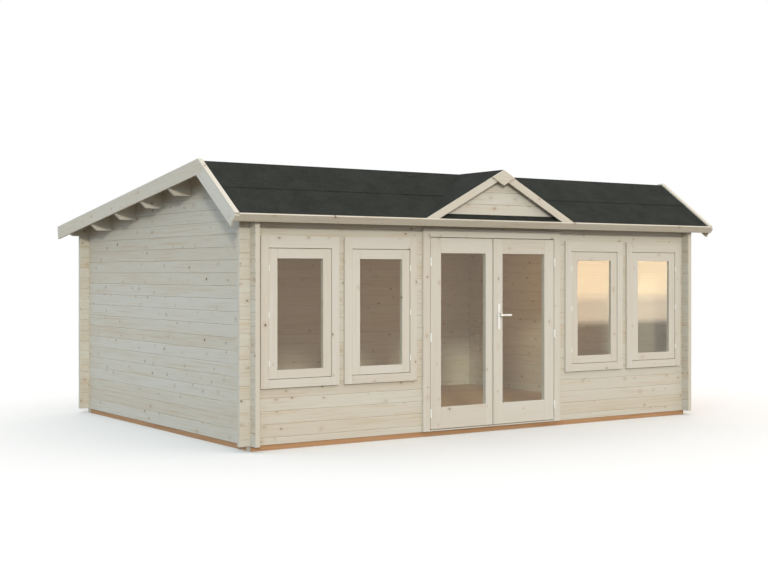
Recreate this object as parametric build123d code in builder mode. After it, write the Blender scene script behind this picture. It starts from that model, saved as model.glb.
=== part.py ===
from build123d import *

import os
from math import cos, radians, sin, tan

os.makedirs("parts", exist_ok=True)

# Driving dimensions, in millimetres and degrees. Ground is z = 0, the front of the cabin faces -Y,
# and the origin lies on the ground under the middle of the walls' plan.

# Walls of stacked logs
wall_depth = 3800.0
log_thickness = 44.0
log_pitch = 114.0
log_end = 100.0
groove_half = 5.0
groove_depth = 4.5

# Foundation and floor
foundation_height = 48.0
beam_width = 70.0
beam_inset = 8.0
joist_bays = 10
floor_thickness = 18.0
floor_gap = 4.0

# Roof form: the steep front slope and the long flat rear slope meet at a ridge near the front
front_pitch = 35.3
rear_pitch = 7.9
ridge_setback = 535.0
eave_over_door = 175.0
front_overhang = 180.0
rear_overhang = 278.0
gable_overhang = 239.0
board_thickness = 18.0
felt_thickness = 3.0
bargeboard_width = 123.0
bargeboard_thickness = 20.0
cap_thickness = 16.0
cap_width = 45.0
fascia_width = 74.0
fascia_thickness = 20.0

# Purlins that carry the roof boards
purlin_width = 44.0
purlin_depth = 162.0
purlin_count = 4
purlin_end_cut = 55.0
console_radius = 60.0

# Small cross gable over the door
dormer_pitch = 28.0
dormer_setback = 18.0
dormer_overhang = 70.0
dormer_board_width = 72.0
dormer_board_thickness = 20.0
dormer_plate_half = 140.0
dormer_plate_thickness = 16.0
cladding_thickness = 18.0

# Windows: four like ones, two on each side of the door
windows_per_side = 2
door_window_gap = 74.0
window_gap = 60.5
window_corner_gap = 93.5
window_bottom = 566.0
sash_width = 629.0
sash_height = 1130.0
sash_thickness = 40.0
sash_side = 84.0
sash_top = 87.0
sash_bottom = 76.0
sash_gap = 4.0
sash_recess = 6.0
window_casing_width = 76.0
window_casing_top = 105.0
window_casing_proud = 28.0
window_jamb = 25.0
window_stop = 12.0

# Double door
leaves_width = 1520.0
leaf_height = 1796.0
leaf_thickness = 45.0
leaf_bottom = 18.0
leaf_gap = 6.0
meeting_offset = 18.0
glass_apart = 207.0
outer_stile = 121.5
leaf_top_rail = 145.0
leaf_bottom_rail = 204.0
leaf_recess = 2.0
door_casing_width = 78.0
door_casing_proud = 25.0
door_jamb = 30.0
door_stop = 15.0
threshold_height = 12.0
strip_width = 48.0
strip_thickness = 12.0
strip_chamfer = 4.0

# Shared by frames, sashes and leaves
inner_trim = 12.0
frame_clearance = 2.0
pane_thickness = 4.0
pane_recess = 15.0
pane_bite = 8.0

# Door hinges
hinge_count = 3
hinge_lowest = 150.0
hinge_spacing = 710.0
barrel_radius = 7.0
barrel_length = 80.0
barrel_standoff = 8.0
knuckle_gap = 0.4
hinge_plate = 2.0
hinge_plate_depth = 30.0

# Door handle
handle_height = 1058.0
handle_backset = 68.0
plate_width = 34.0
plate_height = 246.0
plate_thickness = 8.0
plate_corner = 10.0
plate_drop = 17.0
spindle_side = 8.0
spindle_bore_radius = 6.0
lock_bore_radius = 9.0
collar_radius = 10.0
collar_length = 12.0
collar_gap = 0.4
lever_length = 122.0
lever_height = 18.0
lever_thickness = 11.0
lever_bend = 14.0
lever_standoff = 45.0

# Values worked out from the driving dimensions
half_depth = wall_depth / 2
sill = foundation_height
floor_top = sill + floor_thickness
half_log = log_pitch / 2
notch_height = log_pitch / 2
console_least = log_pitch / 4
ridge_y = -half_depth + ridge_setback
felt_lift = board_thickness + felt_thickness
cap_lift = felt_lift + cap_thickness
board_lift = board_thickness
bargeboard_low = felt_lift - bargeboard_width
fascia_low = cap_lift - fascia_width

# The double door, and the ridge that stands far enough above it
leaf_outer = leaves_width / 2
leaf_low = sill + leaf_bottom
leaf_high = leaf_low + leaf_height
door_clear_half = leaf_outer + leaf_gap
door_clear_high = leaf_high + leaf_gap
door_casing_half = door_clear_half + door_casing_width
door_casing_high = door_clear_high + door_casing_width
ridge_z = door_casing_high + eave_over_door + ridge_setback * tan(radians(front_pitch))
wall_top = ridge_z + log_pitch
cut_top = wall_top + log_pitch

# Windows stand in line beside the door
window_clear_half = sash_width / 2 + sash_gap
casing_half = window_clear_half + window_casing_width
window_first = door_casing_half + door_window_gap + casing_half
window_spacing = 2 * casing_half + window_gap
right_centres = [window_first + window_spacing * n for n in range(windows_per_side)]
window_centres = [-centre for centre in reversed(right_centres)] + right_centres

# The walls end a little way beyond the outer windows, and the roof beyond the walls
half_length = right_centres[-1] + casing_half + window_corner_gap
verge = half_length + gable_overhang
roof_half = verge - bargeboard_thickness

sin_front = sin(radians(front_pitch))
cos_front = cos(radians(front_pitch))
sin_rear = sin(radians(rear_pitch))
cos_rear = cos(radians(rear_pitch))


def crossing(front_lift, rear_lift):
    """(y, z) where the front slope and the rear slope meet, each lifted off the boards' underside."""
    spread = sin(radians(front_pitch + rear_pitch))
    y = (rear_lift * cos_front - front_lift * cos_rear) / spread
    z = (rear_lift * sin_front + front_lift * sin_rear) / spread
    return ridge_y + y, ridge_z + z


def roof_height(y):
    """Height of the roof boards' underside over a line at y."""
    if y < ridge_y:
        return ridge_z - (ridge_y - y) * tan(radians(front_pitch))
    return ridge_z - (y - ridge_y) * tan(radians(rear_pitch))


def front_eave(lift, back=0.0):
    """(y, z) on the square cut of the front eave, or that far up the slope from it."""
    y = -half_depth - front_overhang
    return y - lift * sin_front + back * cos_front, roof_height(y) + lift * cos_front + back * sin_front


def rear_eave(lift, back=0.0):
    """(y, z) on the square cut of the rear eave, or that far up the slope from it."""
    y = half_depth + rear_overhang
    return y + lift * sin_rear - back * cos_rear, roof_height(y) + lift * cos_rear + back * sin_rear


def block(x, y, z, mode=Mode.ADD):
    """A box between the low and high limits given for each axis."""
    with Locations(((x[0] + x[1]) / 2, (y[0] + y[1]) / 2, (z[0] + z[1]) / 2)):
        Box(x[1] - x[0], y[1] - y[0], z[1] - z[0], mode=mode)


def log_outline(low, high, first_joint):
    """Cross-section of a wall of stacked logs between two faces, with a V groove at each joint."""
    joints = []
    joint = sill + first_joint
    while joint < wall_top - groove_half:
        joints.append(joint)
        joint += log_pitch
    outline = [(low, sill), (high, sill)]
    for joint in joints:
        outline += [(high, joint - groove_half), (high - groove_depth, joint), (high, joint + groove_half)]
    outline += [(high, wall_top), (low, wall_top)]
    for joint in reversed(joints):
        outline += [(low, joint + groove_half), (low + groove_depth, joint), (low, joint - groove_half)]
    return outline


def corner_notches(side, end, first_centre):
    """Cuts the half-lap notches where two log walls cross at one corner, centred on a wall's joints."""
    x = side * (half_length - log_thickness / 2)
    y = end * (half_depth - log_thickness / 2)
    courses = int((wall_top - sill) / log_pitch) + 1
    centres = [sill + first_centre + log_pitch * course for course in range(courses)]
    with Locations(*[(x, y, centre) for centre in centres]):
        Box(log_thickness, log_thickness, notch_height, mode=Mode.SUBTRACT)


# Everything above the roof boards' underside, to cut walls and purlins to the slopes
with BuildPart() as above_roof:
    with BuildSketch(Plane.YZ.offset(-verge)):
        Polygon(
            (-wall_depth, roof_height(-wall_depth)),
            (ridge_y, ridge_z),
            (wall_depth, roof_height(wall_depth)),
            (wall_depth, cut_top),
            (-wall_depth, cut_top),
            align=None,
        )
    extrude(amount=2 * verge)

# Everything under the felt's upper face, to seat the small cross gable on the roof
with BuildPart() as under_felt:
    lifted = felt_lift / cos_front
    lifted_rear = felt_lift / cos_rear
    with BuildSketch(Plane.YZ.offset(-verge)):
        Polygon(
            (-wall_depth, roof_height(-wall_depth) + lifted),
            crossing(felt_lift, felt_lift),
            (wall_depth, roof_height(wall_depth) + lifted_rear),
            (wall_depth, 0.0),
            (-wall_depth, 0.0),
            align=None,
        )
    extrude(amount=2 * verge)

# Foundation: two long beams, with joists between them
beam_front = (-half_depth + beam_inset, -half_depth + beam_inset + beam_width)
beam_rear = (-beam_front[1], -beam_front[0])
beam_half = half_length - beam_inset

with BuildPart() as foundation_beams:
    block((-beam_half, beam_half), beam_front, (0, foundation_height))
    block((-beam_half, beam_half), beam_rear, (0, foundation_height))
foundation_beams.part.label = "foundation_beams"
export_step(foundation_beams.part, "parts/foundation_beams.step")

joist_half = beam_half - beam_width / 2
joist_length = beam_rear[0] - beam_front[1]
joist_spacing = 2 * joist_half / joist_bays

with BuildPart() as floor_joists:
    with Locations((0, 0, foundation_height / 2)):
        with GridLocations(joist_spacing, 1, joist_bays + 1, 1):
            Box(beam_width, joist_length, foundation_height)
floor_joists.part.label = "floor_joists"
export_step(floor_joists.part, "parts/floor_joists.step")

# Floor of boards inside the walls
room_half_length = half_length - log_thickness
room_half_depth = half_depth - log_thickness
floor_x = room_half_length - floor_gap
floor_y = room_half_depth - floor_gap

with BuildPart() as floor_boards:
    block((-floor_x, floor_x), (-floor_y, floor_y), (sill, floor_top))
floor_boards.part.label = "floor_boards"
export_step(floor_boards.part, "parts/floor_boards.step")

# Purlin places: evenly spaced from the ridge to the rear wall
purlin_spacing = (room_half_depth - ridge_y) / (purlin_count + 1)
purlin_lines = [ridge_y + purlin_spacing * (n + 1) for n in range(purlin_count)]


def purlin_bottom(y):
    """Underside of a purlin that is centred on y and cut to the roof on top."""
    return roof_height(y + purlin_width / 2) - purlin_depth


# Side walls with their gables; the purlins lie in pockets cut through them
for side, side_name in ((-1, "left_wall"), (1, "right_wall")):
    inner = side * room_half_length
    outer = side * half_length
    with BuildPart() as side_wall:
        with BuildSketch(Plane.XZ.offset(-half_depth - log_end)):
            Polygon(*log_outline(min(inner, outer), max(inner, outer), log_pitch), align=None)
        extrude(amount=wall_depth + 2 * log_end)
        corner_notches(side, -1, 0.0)
        corner_notches(side, 1, 0.0)
        for line in [ridge_y] + purlin_lines:
            wall_span = (min(inner, outer), max(inner, outer))
            purlin_span = (line - purlin_width / 2, line + purlin_width / 2)
            block(wall_span, purlin_span, (purlin_bottom(line), wall_top), mode=Mode.SUBTRACT)
        add(above_roof.part, mode=Mode.SUBTRACT)
    side_wall.part.label = side_name
    export_step(side_wall.part, f"parts/{side_name}.step")

# Rear wall; its top log runs out on both sides as a rounded console under the bargeboards
console_joint = sill + half_log
while console_joint + log_pitch < roof_height(half_depth) - console_least:
    console_joint += log_pitch
console_low = console_joint + groove_half

with BuildPart() as rear_wall:
    with BuildSketch(Plane.YZ.offset(-half_length - log_end)):
        Polygon(*log_outline(room_half_depth, half_depth, half_log), align=None)
    extrude(amount=2 * (half_length + log_end))
    with BuildSketch(Plane.XZ.offset(-half_depth)) as top_log:
        with Locations((0, (console_low + wall_top) / 2)):
            Rectangle(2 * roof_half, wall_top - console_low)
        fillet(top_log.vertices().group_by(Axis.Y)[0], console_radius)
    extrude(amount=log_thickness)
    for side in (-1, 1):
        corner_notches(side, 1, half_log)
    add(above_roof.part, mode=Mode.SUBTRACT)
rear_wall.part.label = "rear_wall"
export_step(rear_wall.part, "parts/rear_wall.step")

# Openings in the front wall
door_hole_half = door_clear_half + door_jamb + frame_clearance
door_hole_high = door_clear_high + door_jamb + frame_clearance

sash_low = sill + window_bottom
sash_high = sash_low + sash_height
window_clear = (sash_low - sash_gap, sash_high + sash_gap)
window_rim = window_jamb + frame_clearance
window_hole_half = window_clear_half + window_rim
window_hole = (window_clear[0] - window_rim, window_clear[1] + window_rim)

wall_front = -half_depth
wall_back = -room_half_depth

# Front wall beside the door, cut through for its windows
for side, side_name in ((-1, "front_wall_left"), (1, "front_wall_right")):
    start = min(side * (half_length + log_end), side * door_hole_half)
    with BuildPart() as front_wall:
        with BuildSketch(Plane.YZ.offset(start)):
            Polygon(*log_outline(wall_front, wall_back, half_log), align=None)
        extrude(amount=half_length + log_end - door_hole_half)
        corner_notches(side, -1, half_log)
        for centre in window_centres:
            if centre * side > 0:
                hole_x = (centre - window_hole_half, centre + window_hole_half)
                block(hole_x, (wall_front, wall_back), window_hole, mode=Mode.SUBTRACT)
        add(above_roof.part, mode=Mode.SUBTRACT)
    front_wall.part.label = side_name
    export_step(front_wall.part, f"parts/{side_name}.step")

# Front wall over the door
with BuildPart() as front_wall_over_door:
    with BuildSketch(Plane.YZ.offset(-door_hole_half)):
        Polygon(*log_outline(wall_front, wall_back, half_log), align=None)
    extrude(amount=2 * door_hole_half)
    door_hole_x = (-door_hole_half, door_hole_half)
    block(door_hole_x, (wall_front, wall_back), (0, door_hole_high), mode=Mode.SUBTRACT)
    add(above_roof.part, mode=Mode.SUBTRACT)
front_wall_over_door.part.label = "front_wall_over_door"
export_step(front_wall_over_door.part, "parts/front_wall_over_door.step")

# Windows: a frame that clasps the wall, a sash shut against its stop, and a pane in the sash
window_face = wall_front - window_casing_proud
sash_face = window_face + sash_recess
sash_back = sash_face + sash_thickness
trim_back = wall_back + inner_trim
window_pane_y = (sash_face + pane_recess, sash_face + pane_recess + pane_thickness)
glass_half = sash_width / 2 - sash_side
glass_z = (sash_low + sash_bottom, sash_high - sash_top)
casing_z = (window_clear[0] - window_casing_width, window_clear[1] + window_casing_top)
jamb_half = window_clear_half + window_jamb
jamb_z = (window_clear[0] - window_jamb, window_clear[1] + window_jamb)
stop_half = window_clear_half - window_stop
stop_z = (window_clear[0] + window_stop, window_clear[1] - window_stop)


def around(centre, half):
    """(low, high) limits this far each side of a centre."""
    return centre - half, centre + half


for number, centre in enumerate(window_centres, 1):
    clear_x = around(centre, window_clear_half)
    with BuildPart() as window_frame:
        block(around(centre, casing_half), (window_face, wall_front), casing_z)
        block(around(centre, casing_half), (wall_back, trim_back), casing_z)
        block(around(centre, jamb_half), (window_face, trim_back), jamb_z)
        block(clear_x, (window_face, sash_back), window_clear, mode=Mode.SUBTRACT)
        block(around(centre, stop_half), (sash_back, trim_back), stop_z, mode=Mode.SUBTRACT)
    window_frame.part.label = f"window_frame_{number}"
    export_step(window_frame.part, f"parts/window_frame_{number}.step")

    with BuildPart() as window_sash:
        block(around(centre, sash_width / 2), (sash_face, sash_back), (sash_low, sash_high))
        block(around(centre, glass_half), (sash_face, sash_back), glass_z, mode=Mode.SUBTRACT)
        groove_z = (glass_z[0] - pane_bite, glass_z[1] + pane_bite)
        block(around(centre, glass_half + pane_bite), window_pane_y, groove_z, mode=Mode.SUBTRACT)
    window_sash.part.label = f"window_sash_{number}"
    export_step(window_sash.part, f"parts/window_sash_{number}.step")

with BuildPart() as window_panes:
    for centre in window_centres:
        groove_z = (glass_z[0] - pane_bite, glass_z[1] + pane_bite)
        block(around(centre, glass_half + pane_bite), window_pane_y, groove_z)
window_panes.part.label = "window_panes"
export_step(window_panes.part, "parts/window_panes.step")

# Door frame: casing, jambs, head, stops and threshold in one
door_face = wall_front - door_casing_proud
leaf_face = door_face + leaf_recess
leaf_back = leaf_face + leaf_thickness
stop_face = leaf_back + leaf_gap
door_stop_half = door_clear_half - door_stop
threshold_top = sill + threshold_height

with BuildPart() as door_frame:
    block(around(0, door_casing_half), (door_face, wall_front), (sill, door_casing_high))
    block(around(0, door_casing_half), (wall_back, trim_back), (floor_top, door_casing_high))
    frame_high = door_clear_high + door_jamb
    block(around(0, door_clear_half + door_jamb), (door_face, trim_back), (floor_top, frame_high))
    block(around(0, door_clear_half + door_jamb), (door_face, wall_back), (sill, frame_high))
    clear_z = (threshold_top, door_clear_high)
    block(around(0, door_clear_half), (door_face, stop_face), clear_z, mode=Mode.SUBTRACT)
    stop_clear_z = (threshold_top, door_clear_high - door_stop)
    block(around(0, door_stop_half), (stop_face, trim_back), stop_clear_z, mode=Mode.SUBTRACT)
door_frame.part.label = "door_frame"
export_step(door_frame.part, "parts/door_frame.step")

# Door leaves with a tall pane each; the right one is bored for the handle's spindle
leaf_pane_y = (leaf_face + pane_recess, leaf_face + pane_recess + pane_thickness)
leaf_glass_z = (leaf_low + leaf_bottom_rail, leaf_high - leaf_top_rail)
leaf_groove_z = (leaf_glass_z[0] - pane_bite, leaf_glass_z[1] + pane_bite)
leaf_glass_near = glass_apart / 2
leaf_glass_far = leaf_outer - outer_stile


def mirrored(side, near, far):
    """(low, high) limits of a span from near to far on one side of the middle."""
    return min(side * near, side * far), max(side * near, side * far)


def meeting_edge(side):
    """x of a leaf's meeting edge; the leaves meet left of the middle."""
    return side * leaf_gap / 2 - meeting_offset


spindle_x = meeting_edge(1) + handle_backset
spindle_z = floor_top + handle_height


for side, side_name in ((-1, "left_door"), (1, "right_door")):
    glass_x = mirrored(side, leaf_glass_near, leaf_glass_far)
    groove_x = mirrored(side, leaf_glass_near - pane_bite, leaf_glass_far + pane_bite)
    with BuildPart() as leaf:
        leaf_x = mirrored(side, side * meeting_edge(side), leaf_outer)
        block(leaf_x, (leaf_face, leaf_back), (leaf_low, leaf_high))
        block(glass_x, (leaf_face, leaf_back), leaf_glass_z, mode=Mode.SUBTRACT)
        block(groove_x, leaf_pane_y, leaf_groove_z, mode=Mode.SUBTRACT)
        if side > 0:
            with Locations((spindle_x, leaf_face + leaf_thickness / 2, spindle_z)):
                Cylinder(lock_bore_radius, leaf_thickness, rotation=(90, 0, 0), mode=Mode.SUBTRACT)
    leaf.part.label = side_name
    export_step(leaf.part, f"parts/{side_name}.step")

    with BuildPart() as leaf_pane:
        block(groove_x, leaf_pane_y, leaf_groove_z)
    leaf_pane.part.label = f"{side_name}_pane"
    export_step(leaf_pane.part, f"parts/{side_name}_pane.step")

# Meeting strip on the right leaf, flush with its edge so that either leaf opens by itself
with BuildPart() as door_meeting_strip:
    strip_x = (meeting_edge(1), meeting_edge(1) + strip_width)
    block(strip_x, (leaf_face - strip_thickness, leaf_face), (leaf_low, leaf_high))
    front_edges = door_meeting_strip.edges().filter_by(Axis.Z).group_by(Axis.Y)[0]
    chamfer(front_edges, strip_chamfer)
door_meeting_strip.part.label = "door_meeting_strip"
export_step(door_meeting_strip.part, "parts/door_meeting_strip.step")

# Door hinges: two knuckles, one above the other, each with a plate in the gap beside the leaf
hinge_x = leaf_outer + leaf_gap / 2
hinge_y = door_face - barrel_standoff
knuckle = (barrel_length - knuckle_gap) / 2
hinge_levels = [leaf_low + hinge_lowest + hinge_spacing * n for n in range(hinge_count)]
plate_y = (hinge_y, hinge_y + barrel_standoff + hinge_plate_depth)


def knuckle_at(side, low, high):
    """Half of a hinge's barrel, standing on the hinge line between two heights."""
    with Locations((side * hinge_x, hinge_y, (low + high) / 2)):
        Cylinder(barrel_radius, high - low)


with BuildPart() as frame_hinges:
    for side in (-1, 1):
        for level in hinge_levels:
            low = level - barrel_length / 2
            knuckle_at(side, low, low + knuckle)
            plate_x = mirrored(side, door_clear_half - hinge_plate, door_clear_half)
            block(plate_x, plate_y, (low, low + knuckle))
frame_hinges.part.label = "frame_hinges"
export_step(frame_hinges.part, "parts/frame_hinges.step")

for side, side_name in ((-1, "left_door_hinges"), (1, "right_door_hinges")):
    with BuildPart() as door_hinges:
        for level in hinge_levels:
            high = level + barrel_length / 2
            knuckle_at(side, high - knuckle, high)
            plate_x = mirrored(side, leaf_outer, leaf_outer + hinge_plate)
            block(plate_x, plate_y, (high - knuckle, high))
    door_hinges.part.label = side_name
    export_step(door_hinges.part, f"parts/{side_name}.step")

# Handle: a long plate on each face of the right leaf, and a pair of levers on one square spindle
plate_bore = leaf_thickness + 2 * plate_thickness

with BuildPart() as door_handle_plates:
    plate_x = around(spindle_x, plate_width / 2)
    plate_z = around(spindle_z - plate_drop, plate_height / 2)
    block(plate_x, (leaf_face - plate_thickness, leaf_face), plate_z)
    block(plate_x, (leaf_back, leaf_back + plate_thickness), plate_z)
    fillet(door_handle_plates.edges().filter_by(Axis.Y), plate_corner)
    with Locations((spindle_x, leaf_face + leaf_thickness / 2, spindle_z)):
        Cylinder(spindle_bore_radius, plate_bore, rotation=(90, 0, 0), mode=Mode.SUBTRACT)
door_handle_plates.part.label = "door_handle_plates"
export_step(door_handle_plates.part, "parts/door_handle_plates.step")

with BuildPart() as door_handle:
    lever_axis = lever_standoff + plate_thickness
    spindle_y = (leaf_face - lever_axis, leaf_back + lever_axis)
    spindle_half = spindle_side / 2
    block(around(spindle_x, spindle_half), spindle_y, around(spindle_z, spindle_half))
    for face, out in ((leaf_face, -1), (leaf_back, 1)):
        collar_start = face + out * (plate_thickness + collar_gap)
        lever_y = face + out * lever_axis
        with Locations((spindle_x, collar_start + out * collar_length / 2, spindle_z)):
            Cylinder(collar_radius, collar_length, rotation=(90, 0, 0))
        with BuildSketch(Plane.XY.offset(spindle_z - lever_height / 2)):
            with BuildLine():
                FilletPolyline(
                    (spindle_x, collar_start + out * collar_length),
                    (spindle_x, lever_y),
                    (spindle_x + lever_length, lever_y),
                    radius=lever_bend,
                )
            trace(line_width=lever_thickness)
        extrude(amount=lever_height)
    lever_ends = door_handle.edges().filter_by(Axis.Z).group_by(Axis.X)[-1]
    fillet(lever_ends, lever_thickness / 3)
door_handle.part.label = "door_handle"
export_step(door_handle.part, "parts/door_handle.step")

# Ridge purlin and the purlins behind it, with their ends cut off askew under the gable overhang
for lines, purlin_name in (([ridge_y], "ridge_purlin"), (purlin_lines, "purlins")):
    with BuildPart() as purlin:
        for line in lines:
            low = purlin_bottom(line)
            with BuildSketch(Plane.XZ.offset(-line - purlin_width / 2)) as purlin_face:
                with Locations((0, (low + wall_top) / 2)):
                    Rectangle(2 * roof_half, wall_top - low)
                chamfer(purlin_face.vertices().group_by(Axis.Y)[0], purlin_end_cut)
            extrude(amount=purlin_width)
        add(above_roof.part, mode=Mode.SUBTRACT)
    purlin.part.label = purlin_name
    export_step(purlin.part, f"parts/{purlin_name}.step")

# Roof boards on the two slopes
with BuildPart() as roof_boards_front:
    with BuildSketch(Plane.YZ.offset(-roof_half)):
        Polygon(
            front_eave(0, fascia_thickness),
            front_eave(board_lift, fascia_thickness),
            crossing(board_lift, board_lift),
            (ridge_y, ridge_z),
            align=None,
        )
    extrude(amount=2 * roof_half)
roof_boards_front.part.label = "roof_boards_front"
export_step(roof_boards_front.part, "parts/roof_boards_front.step")

with BuildPart() as roof_boards_rear:
    with BuildSketch(Plane.YZ.offset(-roof_half)):
        Polygon(
            rear_eave(0, fascia_thickness),
            rear_eave(board_lift, fascia_thickness),
            crossing(board_lift, board_lift),
            (ridge_y, ridge_z),
            align=None,
        )
    extrude(amount=2 * roof_half)
roof_boards_rear.part.label = "roof_boards_rear"
export_step(roof_boards_rear.part, "parts/roof_boards_rear.step")

# Felt over both slopes, between the bargeboards
with BuildPart() as roof_felt:
    with BuildSketch(Plane.YZ.offset(-roof_half)):
        Polygon(
            front_eave(board_lift, fascia_thickness),
            front_eave(felt_lift, fascia_thickness),
            crossing(felt_lift, felt_lift),
            rear_eave(felt_lift, fascia_thickness),
            rear_eave(board_lift, fascia_thickness),
            crossing(board_lift, board_lift),
            align=None,
        )
    extrude(amount=2 * roof_half)
roof_felt.part.label = "roof_felt"
export_step(roof_felt.part, "parts/roof_felt.step")

# Bargeboards: the rear board runs through at the ridge and the front one butts under it; in front
# they stop behind the fascia, and at the rear the fascia stops between them
bargeboard_outlines = {
    "bargeboards_front": (
        front_eave(bargeboard_low, fascia_thickness),
        front_eave(felt_lift, fascia_thickness),
        crossing(felt_lift, bargeboard_low),
        crossing(bargeboard_low, bargeboard_low),
    ),
    "bargeboards_rear": (
        rear_eave(bargeboard_low),
        rear_eave(felt_lift),
        crossing(felt_lift, felt_lift),
        crossing(felt_lift, bargeboard_low),
    ),
}
for board_name, outline in bargeboard_outlines.items():
    with BuildPart() as bargeboards:
        for start in (-verge, roof_half):
            with BuildSketch(Plane.YZ.offset(start)):
                Polygon(*outline, align=None)
            extrude(amount=bargeboard_thickness)
    bargeboards.part.label = board_name
    export_step(bargeboards.part, f"parts/{board_name}.step")

# Flat cap strips over the bargeboards and the felt's edge
cap_outlines = {
    "cap_strips_front": (
        front_eave(felt_lift, fascia_thickness),
        front_eave(cap_lift, fascia_thickness),
        crossing(cap_lift, felt_lift),
        crossing(felt_lift, felt_lift),
    ),
    "cap_strips_rear": (
        rear_eave(felt_lift),
        rear_eave(cap_lift),
        crossing(cap_lift, cap_lift),
        crossing(cap_lift, felt_lift),
    ),
}
for strip_name, outline in cap_outlines.items():
    with BuildPart() as cap_strips:
        for start in (-verge, verge - cap_width):
            with BuildSketch(Plane.YZ.offset(start)):
                Polygon(*outline, align=None)
            extrude(amount=cap_width)
    cap_strips.part.label = strip_name
    export_step(cap_strips.part, f"parts/{strip_name}.step")

# Fascia boards on the eaves; between the cap strips they stand as high as the strips
fascia_half = verge - cap_width
fascias = {"front_fascia": (front_eave, verge), "rear_fascia": (rear_eave, roof_half)}
for fascia_name, (eave, fascia_end) in fascias.items():
    with BuildPart() as fascia:
        with BuildSketch(Plane.YZ.offset(-fascia_end)):
            Polygon(
                eave(fascia_low),
                eave(felt_lift),
                eave(felt_lift, fascia_thickness),
                eave(fascia_low, fascia_thickness),
                align=None,
            )
        extrude(amount=2 * fascia_end)
        with BuildSketch(Plane.YZ.offset(-fascia_half)):
            Polygon(
                eave(felt_lift),
                eave(cap_lift),
                eave(cap_lift, fascia_thickness),
                eave(felt_lift, fascia_thickness),
                align=None,
            )
        extrude(amount=2 * fascia_half)
    fascia.part.label = fascia_name
    export_step(fascia.part, f"parts/{fascia_name}.step")

# Cross gable over the door; its ridge dies into the main ridge and its eaves into the front slope
cos_dormer = cos(radians(dormer_pitch))
tan_dormer = tan(radians(dormer_pitch))
dormer_end, felt_ridge = crossing(felt_lift, felt_lift)
dormer_ridge = felt_ridge - felt_lift / cos_dormer
dormer_reach = (dormer_ridge - sill) / 2 / tan_dormer
dormer_face = front_eave(felt_lift, fascia_thickness)[0] + dormer_setback
dormer_wall = dormer_face + dormer_overhang
dormer_boards_start = dormer_face + dormer_board_thickness


def dormer_line(x, lift):
    """(x, z) on the cross gable's slope at a distance x from its middle."""
    return x, dormer_ridge + lift / cos_dormer - abs(x) * tan_dormer


def dormer_band(low, high):
    """Outline of an inverted V between two lifts off the cross gable's boards."""
    return (
        dormer_line(-dormer_reach, low),
        dormer_line(-dormer_reach, high),
        dormer_line(0, high),
        dormer_line(dormer_reach, high),
        dormer_line(dormer_reach, low),
        dormer_line(0, low),
    )


with BuildPart() as dormer_cladding:
    with BuildSketch(Plane.XZ.offset(-dormer_wall - cladding_thickness)):
        Polygon(
            dormer_line(-dormer_reach, 0),
            dormer_line(0, 0),
            dormer_line(dormer_reach, 0),
            align=None,
        )
    extrude(amount=cladding_thickness)
    add(under_felt.part, mode=Mode.SUBTRACT)
dormer_cladding.part.label = "dormer_cladding"
export_step(dormer_cladding.part, "parts/dormer_cladding.step")

# Its boards stop behind the bargeboards, and its felt runs over their upper edges
dormer_layers = {
    "dormer_roof_boards": (0, board_lift, dormer_boards_start),
    "dormer_felt": (board_lift, felt_lift, dormer_face),
}
for layer, (low, high, start) in dormer_layers.items():
    with BuildPart() as dormer_layer:
        with BuildSketch(Plane.XZ.offset(-dormer_end)):
            Polygon(*dormer_band(low, high), align=None)
        extrude(amount=dormer_end - start)
        add(under_felt.part, mode=Mode.SUBTRACT)
    dormer_layer.part.label = layer
    export_step(dormer_layer.part, f"parts/{layer}.step")

dormer_board_low = board_lift - dormer_board_width
for side, board_name in ((-1, "dormer_bargeboard_left"), (1, "dormer_bargeboard_right")):
    with BuildPart() as dormer_bargeboard:
        with BuildSketch(Plane.XZ.offset(-dormer_boards_start)):
            Polygon(
                dormer_line(0, dormer_board_low),
                dormer_line(side * dormer_reach, dormer_board_low),
                dormer_line(side * dormer_reach, board_lift),
                dormer_line(0, board_lift),
                align=None,
            )
        extrude(amount=dormer_board_thickness)
        add(under_felt.part, mode=Mode.SUBTRACT)
    dormer_bargeboard.part.label = board_name
    export_step(dormer_bargeboard.part, f"parts/{board_name}.step")

with BuildPart() as dormer_apex_plate:
    plate_rise = dormer_plate_half * tan_dormer
    plate_high = dormer_line(0, board_lift)[1]
    with BuildSketch(Plane.XZ.offset(-dormer_face)):
        Polygon(
            (0, plate_high),
            (dormer_plate_half, plate_high - plate_rise),
            (0, plate_high - 2 * plate_rise),
            (-dormer_plate_half, plate_high - plate_rise),
            align=None,
        )
    extrude(amount=dormer_plate_thickness)
dormer_apex_plate.part.label = "dormer_apex_plate"
export_step(dormer_apex_plate.part, "parts/dormer_apex_plate.step")
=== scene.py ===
# %% [markdown]
# # A garden log cabin, dressed for its portrait
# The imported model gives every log, board and pane as a plain solid, in metres, with the ground at
# z = 0 and the front facing -Y. This script adds what makes it look like bare planed spruce: the
# grain and knots, the single boards of the roof and floor, the joinery of doors and windows, nails,
# hinges and felt. Nothing is moved. A solid whose shape is right keeps its place and only gets a
# material, and a solid that stands for several boards is replaced by those boards.

import random
from math import cos, radians, sin, tan

import bmesh
import bpy
from mathutils import Matrix, Vector


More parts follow.
